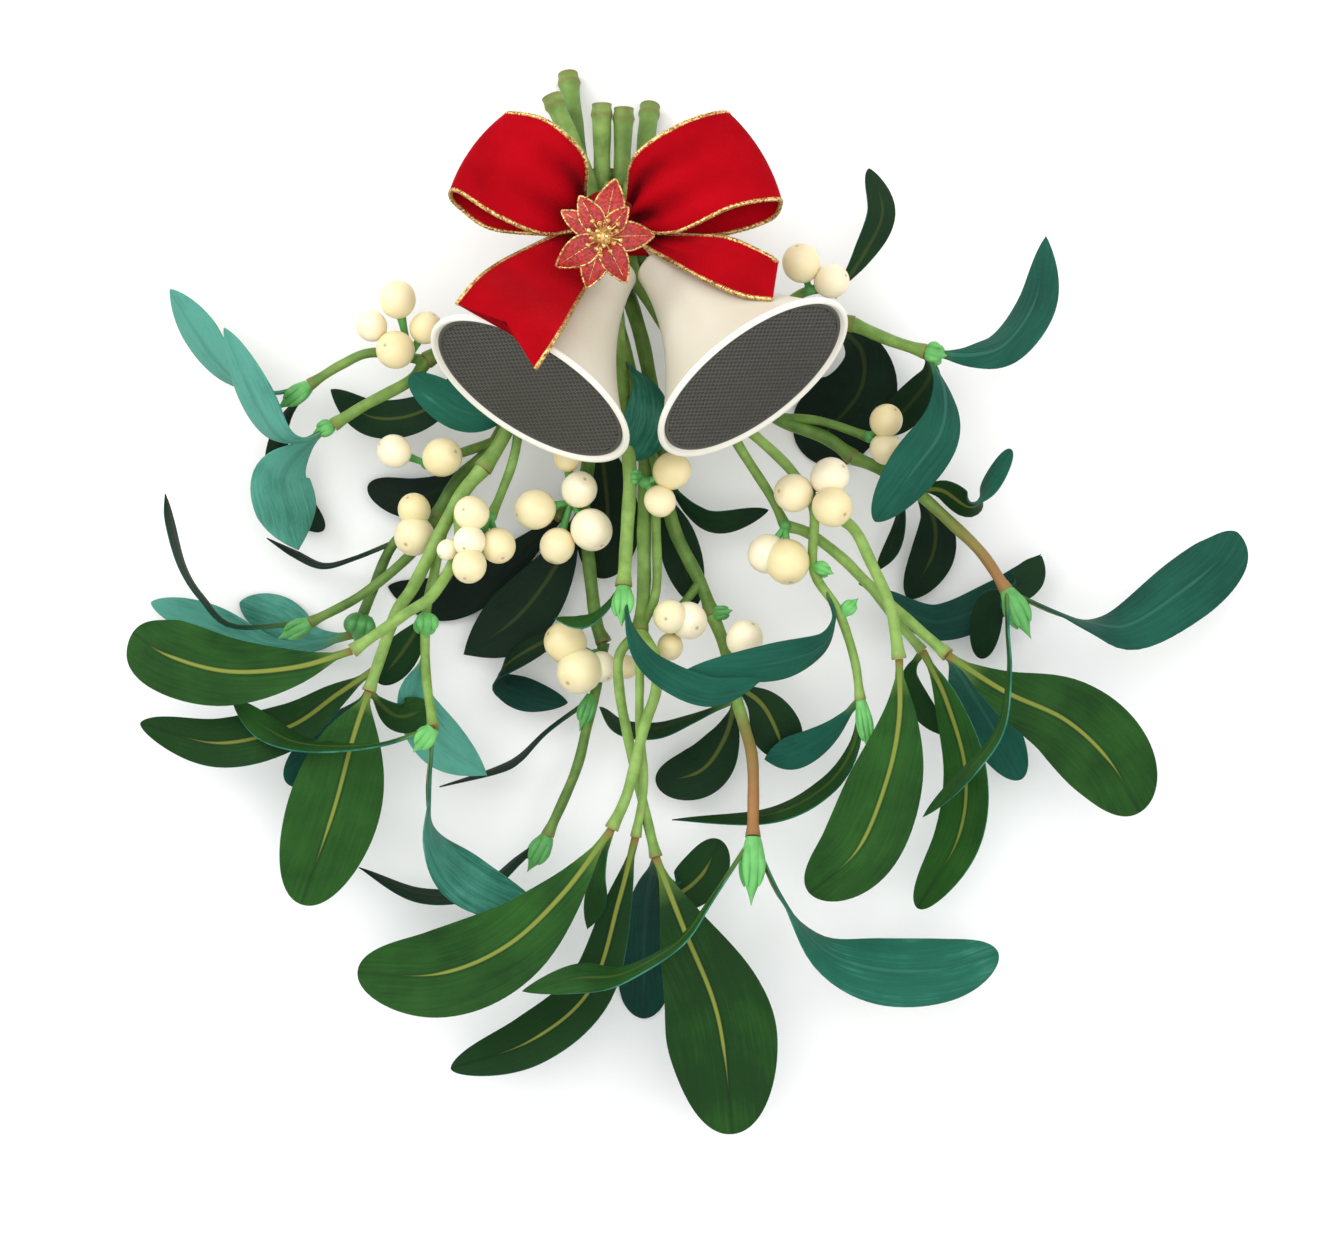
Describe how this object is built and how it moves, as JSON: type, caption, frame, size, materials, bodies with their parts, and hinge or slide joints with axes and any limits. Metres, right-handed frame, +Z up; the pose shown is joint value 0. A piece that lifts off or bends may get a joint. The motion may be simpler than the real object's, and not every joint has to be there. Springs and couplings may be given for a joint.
{
  "type": "mistletoe bunch",
  "caption": "Tied bunch of mistletoe lying flat: forked green stems, spoon-shaped leaves, cream berries, a red bow with a poinsettia, and hanging bells.",
  "frame": {"origin": "middle of the bunch's footprint, on the surface it lies on", "axes": "+Z up from the surface, +Y towards the cut ends of the stems, +X to the right as seen from above with the stems pointing away"},
  "size_m": [0.2777, 0.2657, 0.0895],
  "materials": {
    "sprig_green": "satin leaf",
    "berry_cream": "waxy",
    "velvet_red": "velvet",
    "petal_red": "glitter",
    "bead_gold": "glitter",
    "bell_ivory": "satin enamel",
    "grille_dark": "perforated, matt"
  },
  "bodies": {
    "root": {"bell_left": "bell_ivory", "bell_left_grille": "grille_dark", "bell_right": "bell_ivory", "bell_right_grille": "grille_dark", "berries_brown_stem": "berry_cream", "berries_centre_rear": "berry_cream", "berries_curled": "berry_cream", "berries_far_left": "berry_cream", "berries_left_front": "berry_cream", "berries_left_low": "berry_cream", "berries_left_rear": "berry_cream", "berries_low": "berry_cream", "berries_middle": "berry_cream", "berries_right": "berry_cream", "berries_right_front": "berry_cream", "berries_right_low": "berry_cream", "berries_upper_right": "berry_cream", "bow_loop_left": "velvet_red", "bow_loop_right": "velvet_red", "bow_tail_left": "velvet_red", "bow_tail_right": "velvet_red", "poinsettia_beads": "bead_gold", "poinsettia_petals": "petal_red", "ribbon_tie": "velvet_red", "sprig_brown_stem": "sprig_green", "sprig_centre_front": "sprig_green", "sprig_centre_rear": "sprig_green", "sprig_curled": "sprig_green", "sprig_far_left": "sprig_green", "sprig_left_front": "sprig_green", "sprig_left_rear": "sprig_green", "sprig_right": "sprig_green", "sprig_right_front": "sprig_green", "sprig_upper_right": "sprig_green"}
  },
  "joints": []
}
